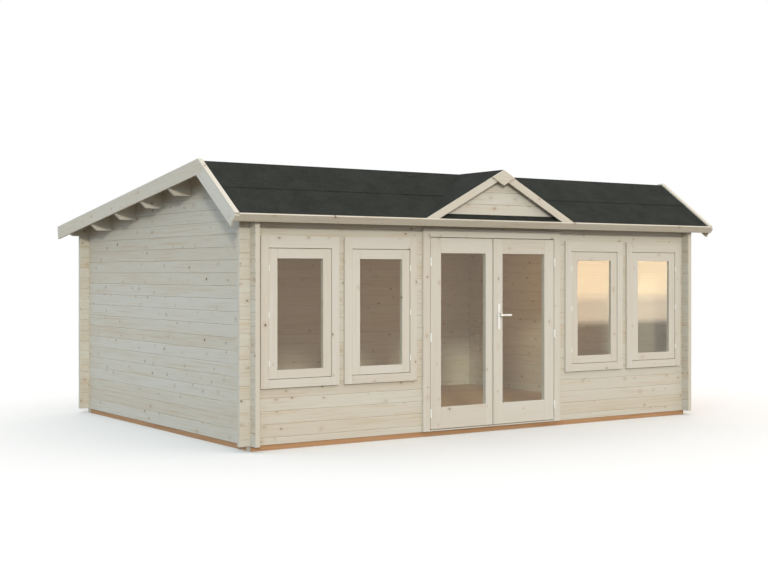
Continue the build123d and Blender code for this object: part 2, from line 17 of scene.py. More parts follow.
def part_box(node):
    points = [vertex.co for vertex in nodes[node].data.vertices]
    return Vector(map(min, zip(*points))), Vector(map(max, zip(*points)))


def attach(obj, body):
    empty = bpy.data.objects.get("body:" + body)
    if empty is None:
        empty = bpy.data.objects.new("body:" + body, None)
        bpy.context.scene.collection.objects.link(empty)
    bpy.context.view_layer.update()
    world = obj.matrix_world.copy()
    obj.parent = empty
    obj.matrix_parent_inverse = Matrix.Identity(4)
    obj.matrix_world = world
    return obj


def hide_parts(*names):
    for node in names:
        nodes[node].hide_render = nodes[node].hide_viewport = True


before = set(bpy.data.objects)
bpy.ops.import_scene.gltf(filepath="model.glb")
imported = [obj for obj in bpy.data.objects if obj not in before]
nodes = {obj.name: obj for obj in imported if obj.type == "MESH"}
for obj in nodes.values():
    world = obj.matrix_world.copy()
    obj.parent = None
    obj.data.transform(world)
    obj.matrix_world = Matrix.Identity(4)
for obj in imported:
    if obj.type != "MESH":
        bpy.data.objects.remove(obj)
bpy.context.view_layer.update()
X, Y, Z = Vector((1, 0, 0)), Vector((0, 1, 0)), Vector((0, 0, 1))

LOG_PITCH = 0.114
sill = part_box("left_wall")[0].z
wall_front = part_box("front_wall_left")[0].y
wall_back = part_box("front_wall_left")[1].y
print("logs stand on", round(sill, 3), "and the front wall faces", round(wall_front, 3))

# %% [markdown]
# ## The camera
# The photograph is taken from eye height, level, to the left of the front. A level camera keeps all
# uprights parallel, and a small vertical shift puts the horizon where the photograph has it. The
# place and the angle come from a fit of the known log spacing to the photograph.

# %% Camera
CAMERA_PLACE = (-7.8247, -11.6796, 1.527)
CAMERA_TURN = 33.833
CAMERA_LENS = 60.342
HORIZON_ROW = 273.4
PICTURE = (768, 576)


def stand(name, data):
    """Makes an object of some data and puts it in the scene."""
    made = bpy.data.objects.new(name, data)
    bpy.context.collection.objects.link(made)
    return made


camera = stand("camera", bpy.data.cameras.new("camera"))
camera.location = CAMERA_PLACE
camera.rotation_euler = (radians(90), 0, radians(-CAMERA_TURN))
camera.data.lens = CAMERA_LENS
camera.data.shift_y = (HORIZON_ROW - PICTURE[1] / 2) / PICTURE[0]
bpy.context.scene.camera = camera
bpy.context.scene.view_settings.view_transform = "Standard"
print("camera at", CAMERA_PLACE, "with a lens of", CAMERA_LENS, "mm")

# %% [markdown]
# ## Helpers for node trees
# Materials and Geometry Nodes are both trees of nodes. One small helper adds a node and fills its
# inputs, either with a plain value or with another node's output, so that a tree reads like a list
# of sums.

# %% Node helpers
def put(tree, kind, inputs=None, **settings):
    """Adds a node; each input is a plain value or another node's output socket."""
    made = tree.nodes.new(kind)
    for name, value in settings.items():
        setattr(made, name, value)
    for key, value in (inputs or {}).items():
        if isinstance(value, bpy.types.NodeSocket):
            tree.links.new(value, made.inputs[key])
        else:
            made.inputs[key].default_value = value
    return made


def maths(tree, operation, first, second=None, clamp=False):
    inputs = {0: first} if second is None else {0: first, 1: second}
    return put(tree, "ShaderNodeMath", inputs, operation=operation, use_clamp=clamp).outputs[0]


def times(tree, first, second):
    return maths(tree, "MULTIPLY", first, second)


def weighted(tree, first, first_weight, second, second_weight):
    """Two values added up, each times its weight."""
    return maths(tree, "ADD", times(tree, first, first_weight), times(tree, second, second_weight))


def vector_maths(tree, operation, first, second):
    return put(tree, "ShaderNodeVectorMath", {0: first, 1: second}, operation=operation).outputs[0]


def vector_times(tree, first, second):
    return vector_maths(tree, "MULTIPLY", first, second)


def fade(tree, value, start, end):
    """0 at start and 1 at end, smoothly; start may be the larger of the two."""
    inputs = {"Value": value, "From Min": start, "From Max": end}
    return put(tree, "ShaderNodeMapRange", inputs, interpolation_type="SMOOTHSTEP").outputs["Result"]


def blend_colours(tree, amount, first, second, way="MIX"):
    inputs = {"Factor": amount, 6: first, 7: second}
    return put(tree, "ShaderNodeMix", inputs, data_type="RGBA", blend_type=way).outputs[2]


def noise(tree, place, scale, detail=3.0, rough=0.5):
    inputs = {"Vector": place, "Scale": scale, "Detail": detail, "Roughness": rough}
    return put(tree, "ShaderNodeTexNoise", inputs).outputs["Fac"]


def new_group(name, kind, inputs, outputs):
    """A node group with named inputs and outputs, and its two end nodes."""
    tree = bpy.data.node_groups.new(name, kind)
    for title, socket, value in inputs:
        made = tree.interface.new_socket(title, in_out="INPUT", socket_type="NodeSocket" + socket)
        if value is not None:
            made.default_value = value
    for title, socket in outputs:
        tree.interface.new_socket(title, in_out="OUTPUT", socket_type="NodeSocket" + socket)
    return tree, tree.nodes.new("NodeGroupInput"), tree.nodes.new("NodeGroupOutput")


def mix_shaders(tree, amount, first, second):
    return put(tree, "ShaderNodeMixShader", {0: amount, 1: first, 2: second}).outputs[0]


def in_view(tree):
    """1 for rays that see, straight on, in a mirror or through glass, and 0 for those of light."""
    ray = put(tree, "ShaderNodeLightPath").outputs
    seen = maths(tree, "MAXIMUM", ray["Is Camera Ray"], ray["Is Transmission Ray"])
    return maths(tree, "MAXIMUM", seen, ray["Is Glossy Ray"])


def surface(tree, shader, end="Material Output"):
    tree.links.new(shader, tree.nodes[end].inputs["Surface"])


def srgb(red, green, blue):
    """A colour as it is read off a picture, 0 to 255, in the linear values that shaders want."""
    levels = [level / 255 for level in (red, green, blue)]
    return tuple(l / 12.92 if l <= 0.04045 else ((l + 0.055) / 1.055) ** 2.4 for l in levels) + (1.0,)


# %% [markdown]
# ## Bare spruce
# Planed spruce is pale cream with faint darker streaks along the grain. Small brown knots sit in it,
# each with a warmer ring round it where the grain bends. The pattern could be painted flat on every
# face, but then the corners of a board wouldn't agree. Here it is a solid pattern: every point of a
# board has a place in metres, x along the grain, y across the board and z through it, and colour and
# relief are worked out from that place.

# %% Group: spruce
spruce, g_in, g_out = new_group(
    "spruce",
    "ShaderNodeTree",
    [
        ("Place", "Vector", None),
        ("Board", "Float", 0.5),
        ("End", "Float", 0.0),
        ("Pale", "Color", srgb(203, 199, 187)),
        ("Warm", "Color", srgb(193, 177, 153)),
        ("Knot", "Color", srgb(84, 68, 54)),
        ("Knots", "Float", 0.5),
        ("Streaks", "Float", 1.0),
    ],
    [("Color", "Color"), ("Roughness", "Float"), ("Height", "Float")],
)
KNOT_CELLS = (3.3, 9.0, 0.0)
KNOT_STRETCH = (0.75, 1.0, 0.0)
KNOT_RADII = (0.004, 0.0115)
NO_KNOT = 0.0001
BOARD_SHIFT = 61.0
KNOT_EDGE = (1.15, 0.7)
HALO_EDGE = (4.0, 0.9)
place = g_in.outputs["Place"]
board = g_in.outputs["Board"]

shifted = times(spruce, board, BOARD_SHIFT)
shift = put(spruce, "ShaderNodeCombineXYZ", {0: shifted, 1: shifted, 2: shifted}).outputs[0]
cells = vector_maths(spruce, "ADD", vector_times(spruce, place, KNOT_CELLS), shift)
scatter = {"Vector": cells, "Scale": 1.0, "Randomness": 0.9}
knots = put(spruce, "ShaderNodeTexVoronoi", scatter, voronoi_dimensions="2D")
away = vector_maths(spruce, "SUBTRACT", cells, knots.outputs["Position"])
away = vector_maths(spruce, "DIVIDE", away, (KNOT_CELLS[0], KNOT_CELLS[1], 1.0))
away = vector_times(spruce, away, KNOT_STRETCH)
reach = put(spruce, "ShaderNodeVectorMath", {0: away}, operation="LENGTH").outputs["Value"]
chance = put(spruce, "ShaderNodeSeparateColor", {0: knots.outputs["Color"]}).outputs
there = maths(spruce, "LESS_THAN", chance[1], g_in.outputs["Knots"])
sizes = {"Value": chance[0], "To Min": KNOT_RADII[0], "To Max": KNOT_RADII[1]}
radius = put(spruce, "ShaderNodeMapRange", sizes).outputs["Result"]
radius = maths(spruce, "MAXIMUM", times(spruce, radius, there), NO_KNOT)
nearness = maths(spruce, "DIVIDE", reach, radius)
knot = fade(spruce, nearness, *KNOT_EDGE)
halo = fade(spruce, nearness, *HALO_EDGE)
print("spruce knots, largest radius in mm:", KNOT_RADII[1] * 1000)

# %% [markdown]
# ## Grain that bends round the knots
# Three noises, drawn out along the grain, give broad bands, streaks and fibres. Near a knot the place
# is pushed aside before the noises are read, so the streaks flow round it. The rest of the cell mixes
# the tones: pale wood, warm streaks, a ring round each knot, the knot itself and the sawn ends.

# %% Group: spruce, grain and colour
GRAIN_BEND = 0.8
BAND_WAVE = (1.1, 9.0, 9.0)
STREAK_WAVE = (1.6, 70.0, 70.0)
FIBRE_WAVE = (9.0, 420.0, 420.0)
STREAK_WARMTH, FIBRE_WARMTH, TONE_WARMTH = 0.62, 0.22, 0.4
RING_STRENGTH = 0.22
KNOT_DEPTH_LEAST, KNOT_DEPTH_MORE = 0.14, 0.8
RING_COLOUR = srgb(178, 148, 116)
SAWN_PALE, SAWN_WARM = srgb(204, 198, 184), srgb(188, 176, 156)


def stretched_noise(wave, detail, rough=0.5):
    return noise(spruce, vector_times(spruce, bent, wave), 1.0, detail, rough)


sideways = put(spruce, "ShaderNodeCombineXYZ", {1: times(spruce, halo, GRAIN_BEND)}).outputs[0]
bend = vector_times(spruce, away, sideways)
bent = vector_maths(spruce, "SUBTRACT", vector_maths(spruce, "ADD", place, shift), bend)
broad = stretched_noise(BAND_WAVE, 2.0)
streak = stretched_noise(STREAK_WAVE, 4.0, 0.6)
fibre = stretched_noise(FIBRE_WAVE, 3.0, 0.65)

tone = fade(spruce, weighted(spruce, board, 0.5, broad, 0.7), 0.25, 0.95)
lines = times(spruce, fade(spruce, streak, 0.48, 0.72), g_in.outputs["Streaks"])
fine = times(spruce, fade(spruce, fibre, 0.4, 0.7), g_in.outputs["Streaks"])
warmth = weighted(spruce, lines, STREAK_WARMTH, fine, FIBRE_WARMTH)
warmth = maths(spruce, "ADD", warmth, times(spruce, tone, TONE_WARMTH), clamp=True)
face = blend_colours(spruce, warmth, g_in.outputs["Pale"], g_in.outputs["Warm"])
ring = blend_colours(spruce, times(spruce, halo, RING_STRENGTH), face, RING_COLOUR)
depth = times(spruce, maths(spruce, "POWER", chance[2], 2.6), KNOT_DEPTH_MORE)
depth = maths(spruce, "ADD", depth, KNOT_DEPTH_LEAST)
marked = blend_colours(spruce, times(spruce, knot, depth), ring, g_in.outputs["Knot"])
cut_end = blend_colours(spruce, fine, SAWN_PALE, SAWN_WARM)
ended = blend_colours(spruce, g_in.outputs["End"], marked, cut_end)
relief = weighted(spruce, streak, 0.6, fibre, 0.4)
relief = maths(spruce, "ADD", relief, times(spruce, knot, 0.5))
dull = maths(spruce, "ADD", times(spruce, warmth, 0.12), 0.58)
spruce.links.new(ended, g_out.inputs["Color"])
spruce.links.new(dull, g_out.inputs["Roughness"])
spruce.links.new(relief, g_out.inputs["Height"])
print("spruce group has", len(spruce.nodes), "nodes")

# %% [markdown]
# ## Courses
# A wall is one solid, but it is a stack of logs, and each log has its own grain. This group turns a
# point of the wall into a place inside its own log: it counts the courses from the first joint, and
# gives every course a random number that shifts its pattern. The same counting serves roof and floor
# boards, which lie side by side instead of on top of each other.

# %% Group: courses
SEED_STEP, DICE_OFFSET = 97.0, 0.37
courses, g_in, g_out = new_group(
    "courses",
    "ShaderNodeTree",
    [
        ("Place", "Vector", None),
        ("Facing", "Vector", None),
        ("Pitch", "Float", LOG_PITCH),
        ("First joint", "Float", 0.0),
        ("Seed", "Float", 0.0),
    ],
    [("Place", "Vector"), ("Board", "Float"), ("End", "Float")],
)
parts = put(courses, "ShaderNodeSeparateXYZ", {0: g_in.outputs["Place"]})
height = maths(courses, "SUBTRACT", parts.outputs[2], g_in.outputs["First joint"])
height = maths(courses, "DIVIDE", height, g_in.outputs["Pitch"])
course = maths(courses, "FLOOR", height)
within = maths(courses, "SUBTRACT", maths(courses, "SUBTRACT", height, course), 0.5)
within = times(courses, within, g_in.outputs["Pitch"])
key = maths(courses, "ADD", times(courses, g_in.outputs["Seed"], SEED_STEP), course)
key = maths(courses, "ADD", key, DICE_OFFSET)
dice = put(courses, "ShaderNodeTexWhiteNoise", {"W": key}, noise_dimensions="1D")
inside = put(courses, "ShaderNodeCombineXYZ", {0: parts.outputs[0], 1: within, 2: parts.outputs[1]})
facing = put(courses, "ShaderNodeSeparateXYZ", {0: g_in.outputs["Facing"]})
is_end = fade(courses, maths(courses, "ABSOLUTE", facing.outputs[0]), 0.7, 0.9)
courses.links.new(inside.outputs[0], g_out.inputs["Place"])
courses.links.new(dice.outputs["Value"], g_out.inputs["Board"])
courses.links.new(is_end, g_out.inputs["End"])
print("courses group has", len(courses.nodes), "nodes")

# %% [markdown]
# ## Timber materials
# Two kinds of material share the spruce pattern. One reads the wall's own coordinates and counts the
# courses. The other reads values that each board of the joinery carries with it: its place along and
# across the grain, a random number and a mark on the sawn ends. Both end in the same shader, with a
# slight bump from the grain.

# %% Timber materials
GRAIN_DEPTH = 0.0006


def new_material(name):
    made = bpy.data.materials.new(name)
    made.use_nodes = True
    tree = made.node_tree
    return made, tree, tree.nodes["Principled BSDF"]


def finish_timber(tree, shader, place, board, end, looks):
    inputs = {"Place": place, "Board": board, "End": end, **looks}
    wood = put(tree, "ShaderNodeGroup", inputs, node_tree=spruce)
    tree.links.new(wood.outputs["Color"], shader.inputs["Base Color"])
    tree.links.new(wood.outputs["Roughness"], shader.inputs["Roughness"])
    bump = put(tree, "ShaderNodeBump", {"Height": wood.outputs["Height"], "Distance": GRAIN_DEPTH})
    tree.links.new(bump.outputs[0], shader.inputs["Normal"])
    shader.inputs["Specular IOR Level"].default_value = 0.3


def coursed_timber(name, turn, pitch, first_joint, seed, looks):
    """Timber in courses; turn brings the grain to X and the stacking direction to Z."""
    made, tree, shader = new_material(name)
    where = put(tree, "ShaderNodeTexCoord").outputs
    spots = {"Vector": where["Object"], "Rotation": turn}
    faces = {"Vector": where["Normal"], "Rotation": turn}
    inputs = {
        "Place": put(tree, "ShaderNodeMapping", spots).outputs[0],
        "Facing": put(tree, "ShaderNodeMapping", faces, vector_type="VECTOR").outputs[0],
        "Pitch": pitch,
        "First joint": first_joint,
        "Seed": seed,
    }
    counted = put(tree, "ShaderNodeGroup", inputs, node_tree=courses)
    finish_timber(tree, shader, *counted.outputs[:3], looks)
    return made


def carried_timber(name, looks):
    """Timber whose boards carry their own place, number and sawn ends."""
    made, tree, shader = new_material(name)
    place, board, end = [
        put(tree, "ShaderNodeAttribute", attribute_name="board_" + title).outputs
        for title in ("place", "number", "end")
    ]
    finish_timber(tree, shader, place["Vector"], board["Fac"], end["Fac"], looks)
    return made


LOG_LOOKS = {"Knots": 0.6}
JOINERY_LOOKS = {
    "Pale": srgb(206, 201, 190),
    "Warm": srgb(197, 184, 165),
    "Knots": 0.42,
    "Streaks": 0.7,
}
TRIM_LOOKS = {"Knots": 0.42, "Streaks": 0.8}
ROOF_LOOKS = {"Knots": 0.3, "Pale": srgb(198, 186, 164), "Warm": srgb(184, 162, 132)}
FLOOR_LOOKS = {"Knots": 0.3, "Pale": srgb(200, 180, 150), "Warm": srgb(182, 152, 116)}
BROWN_LOOKS = {
    "Pale": srgb(184, 144, 104),
    "Warm": srgb(160, 116, 80),
    "Knot": srgb(84, 52, 34),
    "Knots": 0.3,
}
ALONG_X = (0.0, 0.0, 0.0)
ALONG_Y = (0.0, 0.0, radians(-90))
ROW_ALONG_X = (0.0, radians(-90), radians(-90))
ROW_ALONG_Y = (radians(90), 0.0, 0.0)

joinery_timber = carried_timber("joinery_timber", JOINERY_LOOKS)
trim_timber = carried_timber("trim_timber", TRIM_LOOKS)
brown_timber = carried_timber("impregnated_timber", BROWN_LOOKS)
print("timber materials:", joinery_timber.name, trim_timber.name, brown_timber.name)

# %% [markdown]
# ## Log walls
# The walls keep their solids, with the V joints and the notched corners. The side walls start with a
# whole log and the front and rear walls with half a log, which is how the corners interlock, so the
# joints are counted from different heights.

# %% Log walls
log_walls = {
    "left_wall": (ALONG_Y, 0.0, 1.0),
    "right_wall": (ALONG_Y, 0.0, 2.0),
    "rear_wall": (ALONG_X, LOG_PITCH / 2, 3.0),
    "front_wall_left": (ALONG_X, LOG_PITCH / 2, 4.0),
    "front_wall_right": (ALONG_X, LOG_PITCH / 2, 5.0),
    "front_wall_over_door": (ALONG_X, LOG_PITCH / 2, 6.0),
}


def dress(node, material):
    """Gives a CAD node its material in every slot."""
    slots = nodes[node].data.materials
    if not slots:
        slots.append(material)
    for number in range(len(slots)):
        slots[number] = material


for node, (turn, joint, seed) in log_walls.items():
    first_joint = sill + joint - LOG_PITCH
    dress(node, coursed_timber("logs_" + node, turn, LOG_PITCH, first_joint, seed, LOG_LOOKS))
print(len(log_walls), "log walls dressed")

# %% [markdown]
# ## Boards that carry their own grain
# Frames, doors and trim are made of boards that run in different directions. Each board is made as
# its own small mesh with its edges eased, and then joined into one piece. While it is joined, every
# vertex gets its place in the board, so the grain of an upright runs up and that of a rail runs
# across. The eased edges catch a thin line of light, which is what makes a board look planed.

# %% Board helpers
EASED_EDGE = 0.002
LEAF_EASE = 0.003
SHARP = radians(25)
WELD = 1e-5
FLAT_ENOUGH = radians(0.5)
PATTERN_REACH = 9
ALONG_GRAIN = 0.8


def eased(mesh, width):
    """Bevels every sharp edge of a bmesh."""
    mesh.normal_update()
    edges = [e for e in mesh.edges if len(e.link_faces) == 2 and e.calc_face_angle(0) > SHARP]
    shape = {"offset": width, "segments": 2, "profile": 0.6}
    bmesh.ops.bevel(mesh, geom=edges, affect="EDGES", clamp_overlap=True, **shape)
    bmesh.ops.recalc_face_normals(mesh, faces=mesh.faces)
    return mesh


def box_mesh(low, high):
    mesh = bmesh.new()
    bmesh.ops.create_cube(mesh, size=1.0)
    size = Vector(high) - Vector(low)
    middle = (Vector(high) + Vector(low)) / 2
    for vertex in mesh.verts:
        vertex.co = Vector((vertex.co.x * size.x, vertex.co.y * size.y, vertex.co.z * size.z)) + middle
    return mesh


class Boards:
    """Gathers boards into one piece and keeps each board's place, number and sawn ends."""

    def __init__(self, name, seed):
        self.name = name
        self.dice = random.Random(seed)
        self.points, self.faces, self.places, self.numbers, self.ends = [], [], [], [], []
        self.count = 0

    def add(self, mesh, grain, face):
        """Adds a bmesh whose grain runs along one way and whose broad face looks along another."""
        across = face.cross(grain).normalized()
        slide = Vector([self.dice.uniform(0, PATTERN_REACH) for _ in range(3)])
        number = self.dice.random()
        first = len(self.points)
        mesh.normal_update()
        mesh.verts.index_update()
        for vertex in mesh.verts:
            co = vertex.co
            self.points.append(co.copy())
            self.places.append(Vector((co.dot(grain), co.dot(across), co.dot(face))) + slide)
            self.numbers.append(number)
        for polygon in mesh.faces:
            self.faces.append([first + vertex.index for vertex in polygon.verts])
            self.ends.append(1.0 if abs(polygon.normal.dot(grain)) > ALONG_GRAIN else 0.0)
        self.count += 1
        mesh.free()

    def box(self, low, high, grain, face, ease=EASED_EDGE):
        self.add(eased(box_mesh(low, high), ease), grain, face)

    def build(self, material, body, *stands_for, slot="spruce"):
        mesh = bpy.data.meshes.new(self.name)
        mesh.from_pydata(self.points, [], self.faces)
        place = mesh.attributes.new("board_place", "FLOAT_VECTOR", "POINT")
        place.data.foreach_set("vector", [value for spot in self.places for value in spot])
        number = mesh.attributes.new("board_number", "FLOAT", "POINT")
        number.data.foreach_set("value", self.numbers)
        end = mesh.attributes.new("board_end", "FLOAT", "FACE")
        end.data.foreach_set("value", self.ends)
        return settle(mesh, material, body, *stands_for, slot=slot)


def settle(mesh, material, body, *stands_for, slot):
    """Turns a mesh into a piece that rides on a body and stands for CAD nodes."""
    mesh.materials.clear()
    mesh.materials.append(material)
    piece = stand(mesh.name, mesh)
    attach(piece, body)
    if stands_for:
        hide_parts(*stands_for)
    return piece


# %% [markdown]
# ## Trim and purlins
# Bargeboards, cap strips, fascias, purlins and ground beams already have the right outline. Each is
# copied, its doubled corners are merged and its flat triangles dissolved, and its edges are eased.
# The direction of the grain follows the board: along the slope, along the ridge or along the eave.

# %% Whole boards from their solids
FRONT_PITCH = radians(35.3)
REAR_PITCH = radians(7.9)
DORMER_PITCH = radians(28.0)
up_front = Vector((0, cos(FRONT_PITCH), sin(FRONT_PITCH)))
up_rear = Vector((0, -cos(REAR_PITCH), sin(REAR_PITCH)))
up_dormer = Vector((cos(DORMER_PITCH), 0, sin(DORMER_PITCH)))
down_dormer = Vector((cos(DORMER_PITCH), 0, -sin(DORMER_PITCH)))


def merged(node):
    """A bmesh copy of a CAD node, with its corners merged and its flat faces whole."""
    mesh = bmesh.new()
    mesh.from_mesh(nodes[node].data)
    bmesh.ops.remove_doubles(mesh, verts=mesh.verts, dist=WELD)
    bmesh.ops.dissolve_limit(mesh, angle_limit=FLAT_ENOUGH, verts=mesh.verts, edges=mesh.edges)
    return mesh


def islands(mesh):
    """The separate solids of a bmesh, each as a bmesh of its own."""
    left = set(mesh.faces)
    while left:
        found, waiting = set(), [min(left, key=lambda f: f.index)]
        while waiting:
            polygon = waiting.pop()
            if polygon in found:
                continue
            found.add(polygon)
            waiting += [other for side in polygon.edges for other in side.link_faces]
        left -= found
        single = bmesh.new()
        made = {}
        for polygon in sorted(found, key=lambda f: f.index):
            for vertex in polygon.verts:
                if vertex not in made:
                    made[vertex] = single.verts.new(vertex.co)
            single.faces.new([made[vertex] for vertex in polygon.verts])
        yield single


def boards_from(node, grain, face, material, ease=EASED_EDGE, slot="spruce", body="root"):
    boards = Boards("fine_" + node, node)
    whole = merged(node)
    whole.faces.index_update()
    for single in islands(whole):
        boards.add(eased(single, ease), grain, face)
    whole.free()
    return boards.build(material, body, node, slot=slot)


for node, grain, face in (
    ("bargeboards_front", up_front, X),
    ("bargeboards_rear", up_rear, X),
    ("cap_strips_front", up_front, up_front.cross(X)),
    ("cap_strips_rear", up_rear, up_rear.cross(X)),
    ("front_fascia", X, up_front),
    ("rear_fascia", X, up_rear),
    ("ridge_purlin", X, Y),
    ("purlins", X, Y),
    ("dormer_bargeboard_left", up_dormer, Y),
    ("dormer_bargeboard_right", down_dormer, Y),
    ("dormer_apex_plate", X, Y),
):
    boards_from(node, grain, face, trim_timber)
for node, grain in (("foundation_beams", X), ("floor_joists", Y)):
    boards_from(node, grain, Z, brown_timber, ease=LEAF_EASE, slot="impregnated_wood")
print("trim boards made")

# %% [markdown]
# ## Cladding of the cross gable
# Three boards with V joints close the small gable. The solid is one plate, so it is sawn through at
# the joints, and easing the sawn edges leaves the V.

# %% Cladding
CLADDING_JOINTS = (2.185, 2.302)
V_EDGE = 0.006


def sawn(mesh, low, high):
    """The part of a closed bmesh between two heights."""
    part = mesh.copy()
    for height, keep_above in ((low, True), (high, False)):
        if height is None:
            continue
        everything = part.verts[:] + part.edges[:] + part.faces[:]
        cut = bmesh.ops.bisect_plane(
            part,
            geom=everything,
            plane_co=(0, 0, height),
            plane_no=Z,
            clear_inner=keep_above,
            clear_outer=not keep_above,
        )
        edges = [item for item in cut["geom_cut"] if isinstance(item, bmesh.types.BMEdge)]
        bmesh.ops.contextual_create(part, geom=edges)
    return part


cladding = Boards("fine_dormer_cladding", "cladding")
plate = merged("dormer_cladding")
limits = (None,) + CLADDING_JOINTS + (None,)
for low, high in zip(limits, limits[1:]):
    cladding.add(eased(sawn(plate, low, high), V_EDGE), X, Y)
plate.free()
cladding.build(trim_timber, "root", "dormer_cladding")
print(cladding.count, "boards in the cross gable")

# %% [markdown]
# ## Windows
# A window is a frame that clasps the wall and a sash that shuts into it. Uprights run the full height
# and the rails stand between them, as a joiner makes them. All sizes come from the solids, so the
# boards fill exactly the same space.

# %% Windows
SASH_GAP = 0.004
WINDOW_JAMB = 0.025
WINDOW_STOP = 0.012
PANE_BITE = 0.008
PANE_REACH = 0.4


def four_sides(boards, outer, inner, depth, ease=EASED_EDGE):
    """Two uprights and two rails between them, from outer and inner (x, z) limits."""
    (x0, z0), (x1, z1) = outer
    (a0, c0), (a1, c1) = inner
    front, back = depth
    boards.box((x0, front, z0), (a0, back, z1), Z, Y, ease)
    boards.box((a1, front, z0), (x1, back, z1), Z, Y, ease)
    boards.box((a0, front, z0), (a1, back, c0), X, Y, ease)
    boards.box((a0, front, c1), (a1, back, z1), X, Y, ease)


def grown(rim, by):
    (x0, z0), (x1, z1) = rim
    return (x0 - by, z0 - by), (x1 + by, z1 + by)


def flat_box(node):
    low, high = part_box(node)
    return ((low.x, low.z), (high.x, high.z)), low.y, high.y


pane_mesh = nodes["window_panes"].data
for number in (1, 2, 3, 4):
    frame_rim, frame_front, frame_back = flat_box(f"window_frame_{number}")
    sash_rim, sash_front, sash_back = flat_box(f"window_sash_{number}")
    clear = grown(sash_rim, SASH_GAP)
    jamb = grown(clear, WINDOW_JAMB)
    boards = Boards(f"fine_window_frame_{number}", f"frame{number}")
    four_sides(boards, frame_rim, clear, (frame_front, wall_front))
    four_sides(boards, jamb, clear, (wall_front, sash_back))
    four_sides(boards, jamb, grown(clear, -WINDOW_STOP), (sash_back, wall_back))
    four_sides(boards, frame_rim, grown(clear, -WINDOW_STOP), (wall_back, frame_back))
    boards.build(joinery_timber, "root", f"window_frame_{number}")

    middle = (sash_rim[0][0] + sash_rim[1][0]) / 2
    spots = [v.co for v in pane_mesh.vertices if abs(v.co.x - middle) < PANE_REACH]
    pane = (
        (min(s.x for s in spots) + PANE_BITE, min(s.z for s in spots) + PANE_BITE),
        (max(s.x for s in spots) - PANE_BITE, max(s.z for s in spots) - PANE_BITE),
    )
    boards = Boards(f"fine_window_sash_{number}", f"sash{number}")
    four_sides(boards, sash_rim, pane, (sash_front, sash_back), LEAF_EASE)
    boards.build(joinery_timber, "root", f"window_sash_{number}")
print("windows made, sash opening", [round(b - a, 3) for a, b in zip(*pane)])

# %% [markdown]
# ## Doors
# The door frame is made like the window frames, with a threshold at the bottom. Each leaf has two
# stiles, a top rail and a deep bottom rail round one tall pane.

# %% Doors
DOOR_JAMB = 0.030
DOOR_STOP = 0.015
LEAF_GAP = 0.006
THRESHOLD = 0.012
floor_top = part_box("floor_boards")[1].z

frame_low, frame_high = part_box("door_frame")
leaf_low, leaf_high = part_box("right_door")
clear_half = leaf_high.x + LEAF_GAP
clear_top = leaf_high.z + LEAF_GAP
stop_face = leaf_high.y + LEAF_GAP
threshold_top = sill + THRESHOLD
boards = Boards("fine_door_frame", "door_frame")


def portal(half, inner_half, bottom, top, inner_top, depth):
    """Two uprights and a head between them."""
    for side in (-1, 1):
        near, far = sorted((side * half, side * inner_half))
        boards.box((near, depth[0], bottom), (far, depth[1], top), Z, Y)
    boards.box((-inner_half, depth[0], inner_top), (inner_half, depth[1], top), X, Y)


jamb_half = clear_half + DOOR_JAMB
stop_half = clear_half - DOOR_STOP
stop_top = clear_top - DOOR_STOP
portal(frame_high.x, clear_half, sill, frame_high.z, clear_top, (frame_low.y, wall_front))
portal(jamb_half, clear_half, sill, clear_top + DOOR_JAMB, clear_top, (wall_front, stop_face))
portal(jamb_half, stop_half, sill, clear_top + DOOR_JAMB, stop_top, (stop_face, wall_back))
portal(frame_high.x, stop_half, floor_top, frame_high.z, stop_top, (wall_back, frame_high.y))
boards.box((-clear_half, frame_low.y, sill), (clear_half, wall_back, threshold_top), X, Z)
boards.build(joinery_timber, "root", "door_frame")

for side in ("left", "right"):
    leaf_rim, leaf_front, leaf_back = flat_box(side + "_door")
    pane_rim = flat_box(side + "_door_pane")[0]
    boards = Boards(f"fine_{side}_door", side + "_leaf")
    four_sides(boards, leaf_rim, grown(pane_rim, -PANE_BITE), (leaf_front, leaf_back), LEAF_EASE)
    boards.build(joinery_timber, side + "_leaf", side + "_door")
boards_from("door_meeting_strip", Z, Y, joinery_timber, body="right_leaf")
print("doors made")

# %% [markdown]
# ## Roof and floor boards
# The roof is boarded from ridge to eave, and the boards' undersides show under the gables. They are
# all alike and lie in a row, so Geometry Nodes make them: a rectangle with its corners cut is swept
# into one board, and a line of points carries as many boards as the roof is long. The tree has the
# sizes as named inputs and serves the two slopes and the floor.

